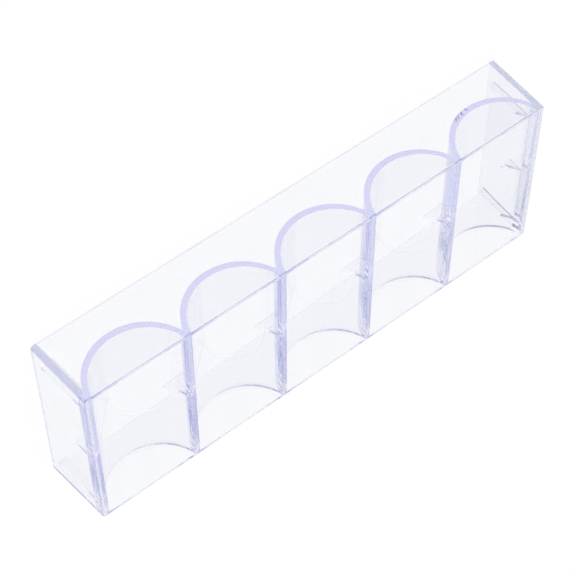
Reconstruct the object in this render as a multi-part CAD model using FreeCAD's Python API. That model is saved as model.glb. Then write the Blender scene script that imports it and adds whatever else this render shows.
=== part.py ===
import FreeCAD, Part
import math
import os

# Five-trough rack for round gaming chips, moulded in clear plastic.
# The rack lies on its base rim with the open troughs up.
# X runs along the rack, Y along the troughs (the way a roll of chips lies), Z up.
# The origin is on the base plane, under the middle of the rack. Units are millimetres.
# The mould pulls apart along Z, so all four walls lean out towards the base.

# ---- driving dimensions -------------------------------------------------------------
CHIP_DIAMETER = 39.0
CHIPS_PER_TROUGH = 20
CHIP_THICKNESS = 3.4
BAYS = 5
BAY_PITCH = 41.0            # from one trough's middle to the next
HEIGHT = 28.6
WALL = 1.8                  # thickness of the long walls
END_WALL = 2.7              # thickness of the end walls
END_MARGIN = 1.75           # outer bay's edge to the end wall's outer face, at the rim
ROLL_CLEARANCE = 2.3        # spare length beside a full roll of chips
SIDE_DRAFT = 1.05           # how far a long wall's foot stands out beyond its rim
END_DRAFT = 1.55            # how far an end wall's foot stands out beyond its rim
CORNER_RADIUS = 1.8         # upright outer corners
RIM_ROUND = 0.6             # rounding of the outer edge of the rim

CHIP_GAP = 0.25             # between a chip's edge and the trough it lies in
TROUGH_SINK = 4.3           # how far the trough's axis lies above the rim
SIDE_THICKNESS = 1.6        # trough sheet, where it leaves the rim
FLOOR_THICKNESS = 2.5       # trough sheet, at its lowest line

GUSSET_THICKNESS = 1.4
GUSSET_DEPTH = 11.3         # lower edge of a gusset, below the rim
RIB_THICKNESS = 1.5
RIB_REACH = 3.0             # how far a rib stands out from the end wall
RIB_INSET = 8.0             # middle of a rib to the long wall's outer face, at the rim
RIB_FOOT = 3.5              # lower end of a rib, above the base plane

# ---- dimensions that follow ---------------------------------------------------------
RIM_LENGTH = BAYS * BAY_PITCH + 2 * END_MARGIN
RIM_WIDTH = CHIPS_PER_TROUGH * CHIP_THICKNESS + ROLL_CLEARANCE + 2 * WALL
INNER_RADIUS = CHIP_DIAMETER / 2 + CHIP_GAP
INNER_AXIS = HEIGHT + TROUGH_SINK
OUTER_RADIUS = INNER_RADIUS + SIDE_THICKNESS
OUTER_AXIS = INNER_AXIS - (FLOOR_THICKNESS - SIDE_THICKNESS)
HALF_PITCH = BAY_PITCH / 2
ROOT_HEIGHT = OUTER_AXIS - math.sqrt(OUTER_RADIUS ** 2 - HALF_PITCH ** 2)
INNER_HALF_WIDTH = RIM_WIDTH / 2 - WALL
INNER_HALF_LENGTH = RIM_LENGTH / 2 - END_WALL
MARGIN = 10.0               # shapes that cut run this far past what they cut
REACH = 2 * RIM_LENGTH      # length of such a shape


# ---- shapes that the pieces share ---------------------------------------------------
def polygon_prism(points, direction):
    """A straight prism on a plane polygon."""
    wire = Part.makePolygon([FreeCAD.Vector(*p) for p in points + points[:1]])
    return Part.Face(wire).extrude(FreeCAD.Vector(*direction))


def between_sides(half_width):
    """The space between two long faces that lean out by the draft; half_width is at the rim."""
    points = leaning_outline(half_width, SIDE_DRAFT)
    return polygon_prism([(-REACH / 2, y, z) for y, z in points], (REACH, 0, 0))


def between_ends(half_length):
    """The space between two end faces that lean out by the draft; half_length is at the rim."""
    points = leaning_outline(half_length, END_DRAFT)
    return polygon_prism([(x, -REACH / 2, z) for x, z in points], (0, REACH, 0))


def leaning_outline(half, draft):
    slope = draft / HEIGHT
    top = half - MARGIN * slope
    foot = half + (HEIGHT + MARGIN) * slope
    return [(-top, HEIGHT + MARGIN), (top, HEIGHT + MARGIN), (foot, -MARGIN), (-foot, -MARGIN)]


def outer_form():
    """The rack's outside as one leaning block with rounded corners and rim."""
    block = slab_box(-RIM_LENGTH, RIM_LENGTH, 0, HEIGHT)
    block = block.common(between_sides(RIM_WIDTH / 2)).common(between_ends(RIM_LENGTH / 2))
    upright = [e for e in block.Edges if e.BoundBox.ZLength > HEIGHT / 2]
    block = block.makeFillet(CORNER_RADIUS, upright)
    at_rim = [e for e in block.Edges if e.BoundBox.ZMin > HEIGHT - RIM_ROUND]
    return block.makeFillet(RIM_ROUND, at_rim)


def mirrored(shape, x=False, y=False):
    """A copy turned over to the other end or the other side of the rack."""
    copy = shape
    if x:
        copy = copy.mirror(FreeCAD.Vector(0, 0, 0), FreeCAD.Vector(1, 0, 0))
    if y:
        copy = copy.mirror(FreeCAD.Vector(0, 0, 0), FreeCAD.Vector(0, 1, 0))
    return copy


def bay_middle(bay):
    """X of the middle of a bay, counted from 0 at the left end."""
    return (bay - (BAYS - 1) / 2) * BAY_PITCH


def trough_cylinder(bay, radius, axis_height):
    start = FreeCAD.Vector(bay_middle(bay), -REACH / 2, axis_height)
    return Part.makeCylinder(radius, REACH, start, FreeCAD.Vector(0, 1, 0))


def slab_box(x_low, x_high, z_low, z_high, y_low=-REACH / 2, y_high=REACH / 2):
    corner = FreeCAD.Vector(x_low, y_low, z_low)
    return Part.makeBox(x_high - x_low, y_high - y_low, z_high - z_low, corner)


def largest_solid(shape):
    return max(shape.Solids, key=lambda s: s.Volume)


# ---- pieces -------------------------------------------------------------------------
def long_wall():
    """The rear long wall, with both of its upright corners."""
    walls = outer_form().cut(between_sides(INNER_HALF_WIDTH))
    return max(walls.Solids, key=lambda s: s.CenterOfMass.y)


def end_wall():
    """The right end wall, between the long walls."""
    walls = outer_form().common(between_sides(INNER_HALF_WIDTH)).cut(between_ends(INNER_HALF_LENGTH))
    return max(walls.Solids, key=lambda s: s.CenterOfMass.x)


def sheet_and_land():
    """All five troughs and the lands between them, before they are divided."""
    solid = slab_box(-RIM_LENGTH, RIM_LENGTH, ROOT_HEIGHT, HEIGHT)
    for bay in range(BAYS):
        solid = solid.fuse(trough_cylinder(bay, OUTER_RADIUS, OUTER_AXIS))
    for bay in range(BAYS):
        solid = solid.cut(trough_cylinder(bay, INNER_RADIUS, INNER_AXIS))
    below_rim = slab_box(-RIM_LENGTH, RIM_LENGTH, -MARGIN, HEIGHT)
    inside = between_sides(INNER_HALF_WIDTH).common(between_ends(INNER_HALF_LENGTH))
    return solid.common(below_rim).common(inside)


def root_wedge(bay_edge):
    """The prism that holds the land beside one bay edge.

    Its sides slope along the line from the groove's root to each trough's axis,
    so they cross the trough sheets squarely.
    """
    top = INNER_AXIS
    points = [(bay_edge, ROOT_HEIGHT), (bay_edge + HALF_PITCH, top), (bay_edge - HALF_PITCH, top)]
    return polygon_prism([(x, -REACH / 2, z) for x, z in points], (0, REACH, 0))


def end_root():
    """X and Z of the right end's root, where the last trough's outside meets the end wall."""
    centre = bay_middle(BAYS - 1)
    slope = END_DRAFT / HEIGHT
    offset = INNER_HALF_LENGTH - centre + slope * (HEIGHT - OUTER_AXIS)
    square = 1 + slope ** 2
    root = (offset * slope) ** 2 - square * (offset ** 2 - OUTER_RADIUS ** 2)
    below_axis = (math.sqrt(root) - offset * slope) / square
    return centre + offset + slope * below_axis, OUTER_AXIS - below_axis


def end_wedge():
    """The prism that holds the right end land, cut squarely through the last trough's sheet."""
    x, z = end_root()
    centre = bay_middle(BAYS - 1)
    points = [(x, z), (RIM_LENGTH, z), (RIM_LENGTH, INNER_AXIS), (centre, INNER_AXIS)]
    return polygon_prism([(px, -REACH / 2, pz) for px, pz in points], (0, REACH, 0))


def groove_web(x_low, x_high):
    """A thin web that fills the top of a groove under the rim, half way along it."""
    half = GUSSET_THICKNESS / 2
    web = slab_box(x_low, x_high, HEIGHT - GUSSET_DEPTH, ROOT_HEIGHT, -half, half)
    for bay in range(BAYS):
        web = web.cut(trough_cylinder(bay, OUTER_RADIUS, OUTER_AXIS))
    return largest_solid(web.common(between_ends(INNER_HALF_LENGTH)))


def stacking_rib():
    """The rib on the right end wall's inside, near the rear long wall."""
    middle = RIM_WIDTH / 2 - RIB_INSET
    low = middle - RIB_THICKNESS / 2
    high = middle + RIB_THICKNESS / 2
    rib = slab_box(0, RIM_LENGTH, RIB_FOOT, HEIGHT, low, high)
    rib = rib.common(between_ends(INNER_HALF_LENGTH)).cut(between_ends(INNER_HALF_LENGTH - RIB_REACH))
    rib = rib.cut(trough_cylinder(BAYS - 1, OUTER_RADIUS, OUTER_AXIS))
    return min(rib.Solids, key=lambda s: s.BoundBox.ZMin)


# ---- assembly -----------------------------------------------------------------------
def build():
    nodes = {}
    wall = long_wall()
    nodes["rear_long_wall"] = wall
    nodes["front_long_wall"] = mirrored(wall, y=True)
    end = end_wall()
    nodes["right_end_wall"] = end
    nodes["left_end_wall"] = mirrored(end, x=True)

    sheet = sheet_and_land()
    edges = [bay_middle(0) - HALF_PITCH + BAY_PITCH * n for n in range(BAYS + 1)]
    right_wedge = end_wedge()
    wedges = [mirrored(right_wedge, x=True)] + [root_wedge(x) for x in edges[1:-1]] + [right_wedge]
    names = ["left_end_land"] + [f"divider_{n}" for n in range(1, BAYS)] + ["right_end_land"]
    for name, wedge in zip(names, wedges):
        nodes[name] = largest_solid(sheet.common(wedge))
    for bay in range(BAYS):
        room = slab_box(edges[bay], edges[bay + 1], -MARGIN, HEIGHT + MARGIN)
        trough = sheet.common(room).cut(wedges[bay]).cut(wedges[bay + 1])
        nodes[f"trough_{bay + 1}"] = largest_solid(trough)

    for n in range(1, BAYS):
        x = edges[n]
        nodes[f"gusset_{n}"] = groove_web(x - HALF_PITCH, x + HALF_PITCH)
    right = groove_web(edges[BAYS] - HALF_PITCH / 2, edges[BAYS] + HALF_PITCH)
    nodes["right_end_gusset"] = right
    nodes["left_end_gusset"] = mirrored(right, x=True)

    rib = stacking_rib()
    nodes["right_rear_rib"] = rib
    nodes["right_front_rib"] = mirrored(rib, y=True)
    nodes["left_rear_rib"] = mirrored(rib, x=True)
    nodes["left_front_rib"] = mirrored(rib, x=True, y=True)
    return nodes


os.makedirs("parts", exist_ok=True)
for node, shape in build().items():
    shape.exportStep(f"parts/{node}.step")
    box = shape.BoundBox
    print(f"{node:18s} solids {len(shape.Solids)} valid {shape.isValid()} volume {shape.Volume:9.1f}"
          f"  x {box.XMin:7.2f} {box.XMax:7.2f}  y {box.YMin:6.2f} {box.YMax:6.2f}"
          f"  z {box.ZMin:5.2f} {box.ZMax:5.2f}")
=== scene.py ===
import math
import bmesh
import bpy
from mathutils import Matrix, Vector


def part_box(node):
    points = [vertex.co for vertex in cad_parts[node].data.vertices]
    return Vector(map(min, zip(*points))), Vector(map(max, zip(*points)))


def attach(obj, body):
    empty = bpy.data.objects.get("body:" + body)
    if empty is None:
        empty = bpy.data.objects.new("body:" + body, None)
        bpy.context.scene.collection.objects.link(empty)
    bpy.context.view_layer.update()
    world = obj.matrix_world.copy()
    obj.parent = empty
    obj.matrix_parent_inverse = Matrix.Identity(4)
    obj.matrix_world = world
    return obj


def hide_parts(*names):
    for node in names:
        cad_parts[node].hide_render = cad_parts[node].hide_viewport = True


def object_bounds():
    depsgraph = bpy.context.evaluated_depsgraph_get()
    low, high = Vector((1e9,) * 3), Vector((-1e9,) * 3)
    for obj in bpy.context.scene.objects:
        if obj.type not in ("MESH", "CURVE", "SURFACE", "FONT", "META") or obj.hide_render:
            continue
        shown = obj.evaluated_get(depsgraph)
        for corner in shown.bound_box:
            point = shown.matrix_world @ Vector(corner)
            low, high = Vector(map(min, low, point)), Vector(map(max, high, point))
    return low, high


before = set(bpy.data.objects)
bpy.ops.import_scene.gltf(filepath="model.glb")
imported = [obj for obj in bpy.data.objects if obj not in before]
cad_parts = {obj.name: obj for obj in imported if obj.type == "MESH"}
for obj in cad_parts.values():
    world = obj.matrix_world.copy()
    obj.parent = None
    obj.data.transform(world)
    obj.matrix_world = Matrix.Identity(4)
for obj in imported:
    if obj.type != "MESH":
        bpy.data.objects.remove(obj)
CAD_LOW, CAD_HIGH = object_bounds()

# A clear chip rack, moulded in one shot of plastic. Every piece of the moulding is made here
# again as a fine closed mesh, so that light bends through round troughs and not through facets.
# All sizes are in metres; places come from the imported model's boxes.

# ---- sizes ----------------------------------------------------------------------------
MM = 0.001
BAYS = 5
WALL = 1.8 * MM
END_WALL = 2.7 * MM
CORNER_RADIUS = 1.8 * MM
RIM_ROUND = 0.6 * MM
SIDE_THICKNESS = 1.6 * MM
FLOOR_THICKNESS = 2.5 * MM
EDGE_ROUND = 0.12 * MM      # the land's edges, at the rim
SEAM = 0.01 * MM            # how far two pieces stand apart where the moulding runs on
ROOT_GAP = 4 * SEAM         # the same, along the sharp corner under an end's root
RIB_REACH = 3.0 * MM        # how far a rib stands out from the end wall

ARC_STEPS = 200             # steps along a trough's arc
CORNER_STEPS = 8            # round an upright corner
LAND_STEPS = 10             # down a land's side
WEB_STEPS = 12              # along a web's or a rib's curved side
ROUND_STEPS = 5             # over a rounded edge
CLOSEST_STOPS = 0.3         # as a share of a step, how near a stop may come to a regular point
TIP_ROUNDS = 60             # rounds that find the rib's tip
CREASE = math.radians(22)   # edges sharper than this are shaded sharp
SAME_POINT = 1e8            # points that agree at this scale are one vertex

HEIGHT = CAD_HIGH.z
BASE_HALF_LENGTH = CAD_HIGH.x
BASE_HALF_WIDTH = CAD_HIGH.y
TROUGH_LOW, TROUGH_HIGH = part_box("trough_3")
PITCH = TROUGH_HIGH.x - TROUGH_LOW.x
HALF_PITCH = PITCH / 2
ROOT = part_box("divider_1")[0].z
LOWEST = TROUGH_LOW.z
END_INNER_AT_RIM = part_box("right_end_wall")[0].x
RIM_HALF_LENGTH = END_INNER_AT_RIM + END_WALL
END_SLOPE = (BASE_HALF_LENGTH - RIM_HALF_LENGTH) / HEIGHT
SIDE_INNER_AT_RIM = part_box("rear_long_wall")[0].y
RIM_HALF_WIDTH = SIDE_INNER_AT_RIM + WALL
SIDE_SLOPE = (BASE_HALF_WIDTH - RIM_HALF_WIDTH) / HEIGHT
DROP = ROOT - LOWEST
OUTER_RADIUS = (HALF_PITCH ** 2 + DROP ** 2) / (2 * DROP)
OUTER_AXIS = LOWEST + OUTER_RADIUS
INNER_RADIUS = OUTER_RADIUS - SIDE_THICKNESS
INNER_AXIS = OUTER_AXIS + FLOOR_THICKNESS - SIDE_THICKNESS
GUSSET_LOW, GUSSET_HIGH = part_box("gusset_1")
RIB_LOW, RIB_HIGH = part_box("right_rear_rib")


def end_spread(z):
    """How far an end wall's leaning face stands out at height z, beyond its place at the rim."""
    return (HEIGHT - z) * END_SLOPE


def side_spread(z):
    """The same for a long wall."""
    return (HEIGHT - z) * SIDE_SLOPE


def side_y(z):
    """Y of the rear long wall's inner face at height z."""
    return SIDE_INNER_AT_RIM + side_spread(z)


def end_x(z):
    """X of the right end wall's inner face at height z."""
    return END_INNER_AT_RIM + end_spread(z)


def bay_middle(bay):
    return (bay - (BAYS - 1) / 2) * PITCH


# ---- outlines in X and Z --------------------------------------------------------------
def circle_point(centre_x, axis, radius, angle):
    """A point on a trough circle; angle 0 is the lowest point, positive towards +X."""
    return (centre_x + radius * math.sin(angle), axis - radius * math.cos(angle))


def inner_rim_angle():
    """Where the inner circle reaches the rim plane."""
    return math.acos((INNER_AXIS - HEIGHT) / INNER_RADIUS)


def end_root():
    """Where the last trough's outside meets the end wall: its offset from the trough's middle, and Z."""
    offset = end_x(OUTER_AXIS) - bay_middle(BAYS - 1)
    square = 1 + END_SLOPE ** 2
    root = (offset * END_SLOPE) ** 2 - square * (offset ** 2 - OUTER_RADIUS ** 2)
    below_axis = (math.sqrt(root) - offset * END_SLOPE) / square
    return offset + END_SLOPE * below_axis, OUTER_AXIS - below_axis


def seam_inner_angle(at_end=False):
    """Where the line from the groove's root to the inner circle's axis crosses that circle."""
    x, z = end_root() if at_end else (HALF_PITCH, ROOT)
    return math.atan2(x, INNER_AXIS - z)


def root_angle(at_end=False):
    """Where the outer circle reaches the groove's root."""
    x, z = end_root() if at_end else (HALF_PITCH, ROOT)
    return math.atan2(x, OUTER_AXIS - z)


def outer_angle_at(z):
    return math.acos((OUTER_AXIS - z) / OUTER_RADIUS)


def arc(centre_x, axis, radius, start, finish, steps):
    return [circle_point(centre_x, axis, radius, start + (finish - start) * n / steps)
            for n in range(steps + 1)]


def rounded_rim_rows():
    """Heights and insets of the outer face's rows, from the base up over the rim's rounding."""
    rows = [(0.0, 0.0)]
    for n in range(ROUND_STEPS + 1):
        turn = math.pi / 2 * n / ROUND_STEPS
        rows.append((HEIGHT - RIM_ROUND + RIM_ROUND * math.sin(turn), RIM_ROUND * (1 - math.cos(turn))))
    return rows


# ---- mesh building --------------------------------------------------------------------
class Shell:
    """A closed mesh put together face by face; seam faces are where the plastic runs on."""

    def __init__(self):
        self.bm = bmesh.new()
        self.layer = self.bm.faces.layers.float.new("seam")
        self.known = {}

    def vertex(self, point):
        key = tuple(round(c * SAME_POINT) for c in point)
        if key not in self.known:
            self.known[key] = self.bm.verts.new(point)
        return self.known[key]

    def face(self, points, seam=False):
        corners = []
        for point in points:
            v = self.vertex(point)
            if not corners or corners[-1] is not v:
                corners.append(v)
        if corners[0] is corners[-1]:
            corners.pop()
        if len(set(corners)) < 3:
            return
        made = self.bm.faces.new(corners)
        made[self.layer] = 1.0 if seam else 0.0

    def finish(self, name, node, slot):
        bmesh.ops.recalc_face_normals(self.bm, faces=self.bm.faces)
        for face in self.bm.faces:
            face.smooth = True
        for edge in self.bm.edges:
            if edge.calc_face_angle(0.0) > CREASE:
                edge.smooth = False
        mesh = bpy.data.meshes.new(name)
        self.bm.to_mesh(mesh)
        self.bm.free()
        piece = bpy.data.objects.new(name, mesh)
        bpy.context.scene.collection.objects.link(piece)
        flat = piece.modifiers.new("flat_faces_stay_flat", "WEIGHTED_NORMAL")
        flat.weight = 100
        flat.keep_sharp = True
        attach(piece, "root")
        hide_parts(node)
        return piece


def along_y(shell, outline, seams, rows, ends_are_seams, contact=None):
    """Carries an XZ outline along Y. rows are functions that give Y at a height.

    seams holds the numbers of the outline's edges that are seams. contact(row, edge) says
    that one more face is a seam, because another piece grows out of it.
    """
    count = len(outline)
    for row in range(len(rows) - 1):
        for n in range(count):
            a = outline[n]
            b = outline[(n + 1) % count]
            ring = [(a[0], rows[row](a[1]), a[1]), (b[0], rows[row](b[1]), b[1]),
                    (b[0], rows[row + 1](b[1]), b[1]), (a[0], rows[row + 1](a[1]), a[1])]
            shell.face(ring, n in seams or bool(contact and contact(row, n)))
    for which in (0, -1):
        shell.face([(x, rows[which](z), z) for x, z in outline], ends_are_seams)


def flat_row(y):
    return lambda z: y


def wall_row(side):
    """The inner face of a long wall, less the seam; side is -1 for the front and 1 for the rear."""
    return lambda z: side * (side_y(z) - SEAM)


def mirrored(outline, flip):
    return [(-x, z) for x, z in outline] if flip else outline


# ---- the pieces' own outlines ---------------------------------------------------------
def outer_stops(at_end=False):
    """Angles along a trough's outer arc from the lowest point to the root, with every stop."""
    last = root_angle(at_end)
    stops = {0.0, last, outer_angle_at(GUSSET_LOW.z)}
    if at_end:
        stops.add(rib_tip_angle())
    steps = ARC_STEPS // 2
    for n in range(1, steps):
        angle = last * n / steps
        if min(abs(angle - s) for s in stops) > CLOSEST_STOPS * last / steps:
            stops.add(angle)
    return sorted(stops)


def rib_tip_angle():
    """Where a rib's free edge meets the outer trough's outer circle."""
    centre = bay_middle(BAYS - 1)
    angle = root_angle(True)
    for _ in range(TIP_ROUNDS):
        z = circle_point(centre, OUTER_AXIS, OUTER_RADIUS, angle)[1]
        wanted = (end_x(z) - RIB_REACH - centre) / OUTER_RADIUS
        angle = math.asin(max(-1.0, min(1.0, wanted)))
    return angle


def make_trough(bay):
    centre = bay_middle(bay)
    first = bay == 0
    last = bay == BAYS - 1
    gap = SEAM / OUTER_RADIUS
    right = [min(s, root_angle(last) - gap) for s in outer_stops(last)]
    left = [min(s, root_angle(first) - gap) for s in outer_stops(first)]
    angles = [-a for a in reversed(left[1:])] + right
    inner = arc(centre, INNER_AXIS, INNER_RADIUS, seam_inner_angle(last) - gap,
                gap - seam_inner_angle(first), ARC_STEPS)
    outer = [circle_point(centre, OUTER_AXIS, OUTER_RADIUS, a) for a in angles]
    outline = outer + inner
    seams = {len(outer) - 1, len(outline) - 1}
    ribs = [RIB_LOW.y, RIB_HIGH.y] if first or last else []
    places = [-y for y in reversed(ribs)] + [GUSSET_LOW.y, GUSSET_HIGH.y] + ribs
    rows = [wall_row(-1)] + [flat_row(y) for y in places] + [wall_row(1)]
    gusset_angle = outer_angle_at(GUSSET_LOW.z)
    tip = rib_tip_angle()
    gusset_row = places.index(GUSSET_LOW.y) + 1
    rib_rows = (1, len(rows) - 3) if ribs else ()

    def contact(row, edge):
        if edge >= len(outer) - 1:
            return False
        middle = (angles[edge] + angles[edge + 1]) / 2
        if row == gusset_row:
            return abs(middle) > gusset_angle
        if row in rib_rows:
            return (last and middle > tip) or (first and middle < -tip)
        return False

    shell = Shell()
    along_y(shell, outline, seams, rows, True, contact)
    return shell.finish(f"trough_{bay + 1}_sheet", f"trough_{bay + 1}", "clear_trough")


def land_side(centre, towards, at_end=False):
    """The rim's round, then the inner circle down to the seam; towards is the side it lies on."""
    rim = inner_rim_angle()
    seam = seam_inner_angle(at_end)
    start = rim - 2 * EDGE_ROUND / INNER_RADIUS
    points = arc(centre, INNER_AXIS, INNER_RADIUS, towards * start, towards * seam, LAND_STEPS)
    corner = circle_point(centre, INNER_AXIS, INNER_RADIUS, towards * rim)
    rounded = []
    low = points[0]
    flat = (corner[0] + towards * 2 * EDGE_ROUND, HEIGHT)
    for n in range(ROUND_STEPS):
        t = n / ROUND_STEPS
        x = (1 - t) ** 2 * flat[0] + 2 * t * (1 - t) * corner[0] + t * t * low[0]
        z = (1 - t) ** 2 * flat[1] + 2 * t * (1 - t) * corner[1] + t * t * low[1]
        rounded.append((x, z))
    return rounded + points


def make_divider(number):
    x = bay_middle(number - 1) + HALF_PITCH
    left = land_side(bay_middle(number - 1), 1)
    right = land_side(bay_middle(number), -1)
    outline = left + [(x, ROOT)] + list(reversed(right))
    seams = {len(left) - 1, len(left)}
    shell = Shell()
    rows = [wall_row(-1), flat_row(GUSSET_LOW.y), flat_row(GUSSET_HIGH.y), wall_row(1)]
    along_y(shell, outline, seams, rows, True)
    return shell.finish(f"divider_{number}_ridge", f"divider_{number}", "clear_divider")


def make_end_land(flip):
    """The right end land, or the left one when flip is set."""
    side = land_side(bay_middle(BAYS - 1), 1, True)
    root = end_root()[1]
    outline = side + [(end_x(root) - SEAM, root), (end_x(HEIGHT) - SEAM, HEIGHT)]
    seams = {len(side) - 1, len(side)}
    shell = Shell()
    along_y(shell, mirrored(outline, flip), seams, [wall_row(-1), wall_row(1)], True)
    name = "left_end_land" if flip else "right_end_land"
    return shell.finish(f"{name}_ridge", name, "clear_divider")


def make_end_wall(flip):
    rows = rounded_rim_rows()
    outside = [(RIM_HALF_LENGTH + end_spread(z) - inset, z) for z, inset in rows]
    heights = [HEIGHT, end_root()[1], GUSSET_LOW.z, RIB_LOW.z, 0.0]
    inside = [(end_x(z), z) for z in heights]
    outline = outside + inside
    land_edge = len(outside)
    gusset_edge = len(outside) + 1
    lower_edge = len(outside) + 2
    places = [-RIB_HIGH.y, -RIB_LOW.y, GUSSET_LOW.y, GUSSET_HIGH.y, RIB_LOW.y, RIB_HIGH.y]
    y_rows = [wall_row(-1)] + [flat_row(y) for y in places] + [wall_row(1)]
    gusset_row = places.index(GUSSET_LOW.y) + 1
    rib_rows = (places.index(-RIB_HIGH.y) + 1, places.index(RIB_LOW.y) + 1)

    def contact(row, edge):
        if row == gusset_row:
            return edge == gusset_edge
        return row in rib_rows and edge in (gusset_edge, lower_edge)

    shell = Shell()
    along_y(shell, mirrored(outline, flip), {land_edge}, y_rows, True, contact)
    name = "left_end_wall" if flip else "right_end_wall"
    return shell.finish(f"{name}_panel", name, "clear_wall")


def wall_outline(z, inset):
    """Plan of the rear long wall's outside at a height, from its right end round to its left."""
    half = RIM_HALF_LENGTH + end_spread(z) - inset
    y = RIM_HALF_WIDTH + side_spread(z) - inset
    radius = CORNER_RADIUS - inset
    points = [(half, side_y(z), z)]
    for n in range(CORNER_STEPS + 1):
        turn = math.pi / 2 * n / CORNER_STEPS
        points.append((half - radius + radius * math.cos(turn), y - radius + radius * math.sin(turn), z))
    return points + [(-x, py, pz) for x, py, pz in reversed(points)]


def make_long_wall(side):
    """The rear long wall for side 1, the front one for side -1."""
    shell = Shell()

    def put(points, seam=False):
        shell.face([(x, y * side, z) for x, y, z in points], seam)

    def on_inside(outline):
        return [(x, side_y(z), z) for x, z in outline]

    rows = rounded_rim_rows()
    rings = [wall_outline(z, inset) for z, inset in rows]
    for low, high in zip(rings, rings[1:]):
        for n in range(len(low) - 1):
            put([low[n], low[n + 1], high[n + 1], high[n]])
    outside = [(RIM_HALF_LENGTH + end_spread(z) - inset, z) for z, inset in rows]
    root = end_root()[1]
    end_outline = outside + [(end_x(HEIGHT), HEIGHT), (end_x(root), root), (end_x(0.0), 0.0)]
    centres = [bay_middle(b) for b in range(BAYS)]
    below = [(-end_x(0.0), 0.0)]
    for bay, centre in enumerate(centres):
        first = bay == 0
        last = bay == BAYS - 1
        right = land_side(centre, 1, last)
        left = land_side(centre, -1, first)
        inner = arc(centre, INNER_AXIS, INNER_RADIUS, seam_inner_angle(last),
                    -seam_inner_angle(first), ARC_STEPS)
        outer = [circle_point(centre, OUTER_AXIS, OUTER_RADIUS, a)
                 for a in [-s for s in reversed(outer_stops(first)[1:])] + outer_stops(last)]
        put(on_inside(left + list(reversed(inner))[1:-1] + list(reversed(right))))
        put(on_inside(outer + inner), True)
        below += outer
    put(on_inside(below + [(end_x(0.0), 0.0)]))
    for number in range(1, BAYS):
        left = land_side(centres[number - 1], 1)
        right = land_side(centres[number], -1)
        put(on_inside(left + [(centres[number] - HALF_PITCH, ROOT)] + list(reversed(right))), True)
    land = land_side(centres[-1], 1, True) + [(end_x(root), root), (end_x(HEIGHT), HEIGHT)]
    for flip in (False, True):
        put(on_inside(mirrored(land, flip)), True)
        put(on_inside(mirrored(end_outline, flip)), True)
    top_line = []
    for centre in centres:
        top_line += [land_side(centre, -1)[0], land_side(centre, 1)[0]]
    top_line = [(-end_x(HEIGHT), HEIGHT)] + top_line + [(end_x(HEIGHT), HEIGHT)]
    put(rings[-1] + on_inside(top_line))
    put(rings[0] + on_inside([(-end_x(0.0), 0.0), (end_x(0.0), 0.0)]))
    name = "rear_long_wall" if side > 0 else "front_long_wall"
    return shell.finish(f"{name}_panel", name, "clear_wall")


def web_side(centre, start, stop):
    """The side of a web or a rib that follows a trough's outside, from just past its root."""
    return arc(centre, OUTER_AXIS, OUTER_RADIUS + SEAM, start, stop, WEB_STEPS)[1:]


def make_gusset(number):
    x = bay_middle(number - 1) + HALF_PITCH
    left = web_side(x - HALF_PITCH, root_angle(), outer_angle_at(GUSSET_LOW.z))
    right = [(2 * x - px, pz) for px, pz in left]
    outline = [(x, ROOT - SEAM)] + left + list(reversed(right))
    seams = set(range(len(outline))) - {len(left)}
    shell = Shell()
    along_y(shell, outline, seams, [flat_row(GUSSET_LOW.y), flat_row(GUSSET_HIGH.y)], False)
    return shell.finish(f"gusset_{number}_web", f"gusset_{number}", "clear_web")


def make_end_gusset(flip):
    side = web_side(bay_middle(BAYS - 1), root_angle(True), outer_angle_at(GUSSET_LOW.z))
    outline = side + [(end_x(z) - SEAM, z) for z in (GUSSET_LOW.z, end_root()[1] - ROOT_GAP)]
    seams = set(range(len(outline))) - {len(side) - 1}
    shell = Shell()
    along_y(shell, mirrored(outline, flip), seams, [flat_row(GUSSET_LOW.y), flat_row(GUSSET_HIGH.y)], False)
    name = "left_end_gusset" if flip else "right_end_gusset"
    return shell.finish(f"{name}_web", name, "clear_web")


def make_rib(flip, side):
    arc_side = web_side(bay_middle(BAYS - 1), root_angle(True), rib_tip_angle())
    foot = RIB_LOW.z
    outline = arc_side + [(end_x(foot) - RIB_REACH, foot)]
    outline += [(end_x(z) - SEAM, z) for z in (foot, GUSSET_LOW.z, end_root()[1] - ROOT_GAP)]
    seams = set(range(len(outline))) - {len(arc_side) - 1, len(arc_side)}
    low, high = sorted((side * RIB_LOW.y, side * RIB_HIGH.y))
    shell = Shell()
    along_y(shell, mirrored(outline, flip), seams, [flat_row(low), flat_row(high)], False)
    name = f"{'left' if flip else 'right'}_{'rear' if side > 0 else 'front'}_rib"
    return shell.finish(f"{name}_bar", name, "clear_web")


# ---- material -------------------------------------------------------------------------
IOR = 1.52
# The sheets' base colour below is painted shade: a flat grey-blue that darkens every sheet in place of a
# grey backdrop seen through the plastic.
SHEET_PAINTED_SHADE = (0.945, 0.95, 0.968)
LILAC = (0.60, 0.60, 0.92)
GREY_LILAC = (0.66, 0.69, 0.84)
TINT_DENSITY = 11.0
FLOW_WAVE = 16 * MM         # length of the moulding's faint waves
FLOW_HEIGHT = 0.006 * MM
CLOUD_RANGE = (0.3, 0.7)    # noise values between which the painted shade goes from deep to full
CLOUD_DEPTH = 0.994
SCRATCH_WIDTH = 0.25 * MM
SCRATCH_STRETCH = 0.02      # width over length
SCRATCH_RANGE = (0.74, 0.80)
SCRATCH_ROUGHNESS = 0.09
WORN_BAND = 0.7 * MM        # how far the wear on the rim and the base edge reaches
WORN_ROUGHNESS = 0.5


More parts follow.
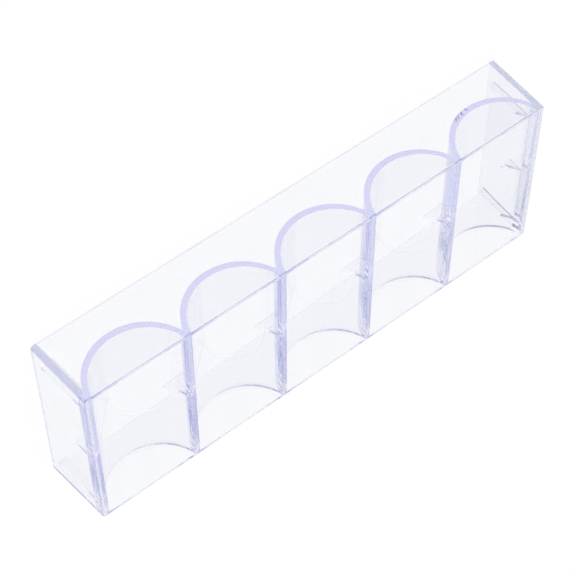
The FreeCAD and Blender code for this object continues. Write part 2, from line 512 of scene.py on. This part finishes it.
def clear_plastic(name, tint, scratch_axis, scratches, haze):
    """Clear moulded plastic: faint flow waves, fine scratches along one axis, worn rim and base edge, and a
    grey-blue base colour that is painted shade.

    tint colours the light on its way through, a higher scratches gives more of them, and haze
    is the roughness between them.
    Seam faces let light straight through.
    """
    material = bpy.data.materials.new(name)
    material.use_nodes = True
    nodes = material.node_tree.nodes
    links = material.node_tree.links
    nodes.clear()
    out = nodes.new("ShaderNodeOutputMaterial")
    plastic = nodes.new("ShaderNodeBsdfPrincipled")
    plastic.inputs["Transmission Weight"].default_value = 1.0
    plastic.inputs["IOR"].default_value = IOR
    place = nodes.new("ShaderNodeTexCoord")

    waves = nodes.new("ShaderNodeTexNoise")
    waves.inputs["Scale"].default_value = 1 / FLOW_WAVE
    waves.inputs["Detail"].default_value = 1.0
    links.new(place.outputs["Object"], waves.inputs["Vector"])
    ripple = nodes.new("ShaderNodeBump")
    ripple.inputs["Distance"].default_value = FLOW_HEIGHT
    links.new(waves.outputs["Fac"], ripple.inputs["Height"])
    links.new(ripple.outputs["Normal"], plastic.inputs["Normal"])

    # The base colour: painted shade, a flat grey-blue standing in for the backdrop seen through, with faint
    # random clouding over it.
    cloudy_painted_shade = nodes.new("ShaderNodeValToRGB")
    stops = cloudy_painted_shade.color_ramp.elements
    stops[0].position, stops[1].position = CLOUD_RANGE
    stops[0].color = (*(c * CLOUD_DEPTH for c in SHEET_PAINTED_SHADE), 1)
    stops[1].color = (*SHEET_PAINTED_SHADE, 1)
    links.new(waves.outputs["Fac"], cloudy_painted_shade.inputs["Fac"])
    links.new(cloudy_painted_shade.outputs["Color"], plastic.inputs["Base Color"])

    stretch = nodes.new("ShaderNodeMapping")
    across = 1 / SCRATCH_WIDTH
    along = across * SCRATCH_STRETCH
    stretch.inputs["Scale"].default_value = [along if axis == scratch_axis else across for axis in "XYZ"]
    links.new(place.outputs["Object"], stretch.inputs["Vector"])
    grain = nodes.new("ShaderNodeTexNoise")
    grain.inputs["Scale"].default_value = 1.0
    grain.inputs["Detail"].default_value = 2.0
    links.new(stretch.outputs["Vector"], grain.inputs["Vector"])
    lines = nodes.new("ShaderNodeMapRange")
    lines.inputs["From Min"].default_value = SCRATCH_RANGE[0] - scratches
    lines.inputs["From Max"].default_value = SCRATCH_RANGE[1] - scratches
    lines.inputs["To Min"].default_value = haze
    lines.inputs["To Max"].default_value = haze + SCRATCH_ROUGHNESS
    links.new(grain.outputs["Fac"], lines.inputs["Value"])

    height = nodes.new("ShaderNodeSeparateXYZ")
    links.new(place.outputs["Object"], height.inputs["Vector"])
    from_middle = nodes.new("ShaderNodeMath")
    from_middle.operation = "SUBTRACT"
    from_middle.inputs[1].default_value = HEIGHT / 2
    links.new(height.outputs["Z"], from_middle.inputs[0])
    distance = nodes.new("ShaderNodeMath")
    distance.operation = "ABSOLUTE"
    links.new(from_middle.outputs[0], distance.inputs[0])
    worn = nodes.new("ShaderNodeMapRange")
    worn.inputs["From Min"].default_value = HEIGHT / 2 - WORN_BAND
    worn.inputs["From Max"].default_value = HEIGHT / 2
    worn.inputs["To Max"].default_value = WORN_ROUGHNESS
    links.new(distance.outputs[0], worn.inputs["Value"])
    patchy = nodes.new("ShaderNodeMath")
    patchy.operation = "MULTIPLY"
    links.new(worn.outputs["Result"], patchy.inputs[0])
    links.new(grain.outputs["Fac"], patchy.inputs[1])
    roughest = nodes.new("ShaderNodeMath")
    roughest.operation = "MAXIMUM"
    links.new(lines.outputs["Result"], roughest.inputs[0])
    links.new(patchy.outputs[0], roughest.inputs[1])
    links.new(roughest.outputs[0], plastic.inputs["Roughness"])

    seam = nodes.new("ShaderNodeAttribute")
    seam.attribute_name = "seam"
    clear = nodes.new("ShaderNodeBsdfTransparent")
    mix = nodes.new("ShaderNodeMixShader")
    links.new(seam.outputs["Fac"], mix.inputs["Fac"])
    links.new(plastic.outputs[0], mix.inputs[1])
    links.new(clear.outputs[0], mix.inputs[2])
    links.new(mix.outputs[0], out.inputs["Surface"])
    inside = nodes.new("ShaderNodeVolumeAbsorption")
    inside.inputs["Color"].default_value = (*tint, 1)
    inside.inputs["Density"].default_value = TINT_DENSITY
    links.new(inside.outputs[0], out.inputs["Volume"])
    return material


FLOOR_WHITE = 0.18
FLOOR_GLOW = 0.86


def pale_floor():
    """A white light table: most of its light comes from below, so shadows on it stay faint."""
    material = bpy.data.materials.new("floor_white")
    material.use_nodes = True
    shader = material.node_tree.nodes["Principled BSDF"]
    shader.inputs["Base Color"].default_value = (FLOOR_WHITE, FLOOR_WHITE, FLOOR_WHITE, 1)
    shader.inputs["Roughness"].default_value = 1.0
    shader.inputs["Specular IOR Level"].default_value = 0.0
    shader.inputs["Emission Color"].default_value = (1, 1, 1, 1)
    shader.inputs["Emission Strength"].default_value = FLOOR_GLOW
    return material


# ---- camera, light, floor -------------------------------------------------------------
VIEW_AZIMUTH = math.radians(26.015)
VIEW_ELEVATION = math.radians(28.397)
VIEW_ROLL = math.radians(-133.916)
VIEW_DISTANCE = 0.65148
VIEW_RIGHT = -0.00665
VIEW_UP = -0.0051
LENS = 110.89
SHIFT = (0.0058, 0.018)
NEAREST = 0.01
FARTHEST = 20
FLOOR_HALF_SIZE = 6
FLOOR_GAP = 0.05 * MM
TENT_STRENGTH = 1.03
TENT_WHITE = (1, 1, 1, 1)
OPENING = (0.28, -0.42, 0.86)       # where the white tent round the rack is open, and darker
OPENING_EDGE = (0.80, 0.90)         # cosines between which the tent goes over into the opening
OPENING_COLOUR = (0.22, 0.23, 0.27, 1)
BOUNCES = 256                       # light that runs along a sheet turns very many times


def make_camera():
    back = Vector((math.sin(VIEW_AZIMUTH) * math.cos(VIEW_ELEVATION),
                   -math.cos(VIEW_AZIMUTH) * math.cos(VIEW_ELEVATION),
                   math.sin(VIEW_ELEVATION)))
    level = Vector((math.cos(VIEW_AZIMUTH), math.sin(VIEW_AZIMUTH), 0))
    rise = back.cross(level)
    up = rise * math.cos(VIEW_ROLL) + level * math.sin(VIEW_ROLL)
    right = up.cross(back)
    data = bpy.data.cameras.new("camera")
    data.lens = LENS
    data.shift_x, data.shift_y = SHIFT
    data.clip_start = NEAREST
    data.clip_end = FARTHEST
    camera = bpy.data.objects.new("camera", data)
    bpy.context.scene.collection.objects.link(camera)
    middle = Vector((0, 0, HEIGHT / 2))
    place = middle + back * VIEW_DISTANCE + right * VIEW_RIGHT + up * VIEW_UP
    turn = Matrix((right, up, back)).transposed()
    camera.matrix_world = Matrix.Translation(place) @ turn.to_4x4()
    bpy.context.scene.camera = camera


def make_floor(material):
    mesh = bpy.data.meshes.new("floor")
    bm = bmesh.new()
    bmesh.ops.create_grid(bm, x_segments=1, y_segments=1, size=FLOOR_HALF_SIZE)
    bm.to_mesh(mesh)
    bm.free()
    floor = bpy.data.objects.new("floor", mesh)
    bpy.context.scene.collection.objects.link(floor)
    floor.location.z = -FLOOR_GAP
    floor.data.materials.append(material)


def make_world():
    """A white tent all round, with a soft-edged darker opening overhead."""
    world = bpy.data.worlds.new("studio")
    bpy.context.scene.world = world
    world.use_nodes = True
    nodes = world.node_tree.nodes
    links = world.node_tree.links
    background = nodes["Background"]
    background.inputs["Strength"].default_value = TENT_STRENGTH
    direction = nodes.new("ShaderNodeTexCoord")
    towards = nodes.new("ShaderNodeVectorMath")
    towards.operation = "DOT_PRODUCT"
    towards.inputs[1].default_value = Vector(OPENING).normalized()
    shade = nodes.new("ShaderNodeValToRGB")
    stops = shade.color_ramp.elements
    stops[0].position, stops[1].position = OPENING_EDGE
    stops[0].color, stops[1].color = TENT_WHITE, OPENING_COLOUR
    links.new(direction.outputs["Generated"], towards.inputs[0])
    links.new(towards.outputs["Value"], shade.inputs["Fac"])
    links.new(shade.outputs["Color"], background.inputs["Color"])


scene = bpy.context.scene
scene.view_settings.view_transform = "Standard"
scene.cycles.max_bounces = BOUNCES
scene.cycles.transmission_bounces = BOUNCES
scene.cycles.glossy_bounces = BOUNCES
scene.cycles.transparent_max_bounces = BOUNCES
scene.cycles.blur_glossy = 0
scene.cycles.sample_clamp_indirect = 0

make_camera()
make_world()
make_floor(pale_floor())
pieces = [make_trough(bay) for bay in range(BAYS)]
pieces += [make_divider(n) for n in range(1, BAYS)]
pieces += [make_gusset(n) for n in range(1, BAYS)]
for left in (False, True):
    pieces += [make_end_land(left), make_end_wall(left), make_end_gusset(left)]
    pieces += [make_rib(left, side) for side in (1, -1)]
pieces += [make_long_wall(side) for side in (1, -1)]
finishes = {"wall_panel": clear_plastic("clear_wall", GREY_LILAC, "X", scratches=0.02, haze=0.0),
            "end_panel": clear_plastic("clear_end", GREY_LILAC, "Y", scratches=0.02, haze=0.12),
            "sheet": clear_plastic("clear_trough", LILAC, "Y", scratches=0.03, haze=0.0),
            "ridge": clear_plastic("clear_divider", LILAC, "Y", scratches=0.04, haze=0.04),
            "web": clear_plastic("clear_web", GREY_LILAC, "Z", scratches=0.0, haze=0.04)}


def finish_of(name):
    """The plastic for a piece, by the last word of its name."""
    if name.endswith("panel"):
        return finishes["end_panel" if "end" in name else "wall_panel"]
    return finishes["web" if name.endswith("bar") else name.rsplit("_", 1)[1]]


for piece in pieces:
    piece.data.materials.append(finish_of(piece.name))
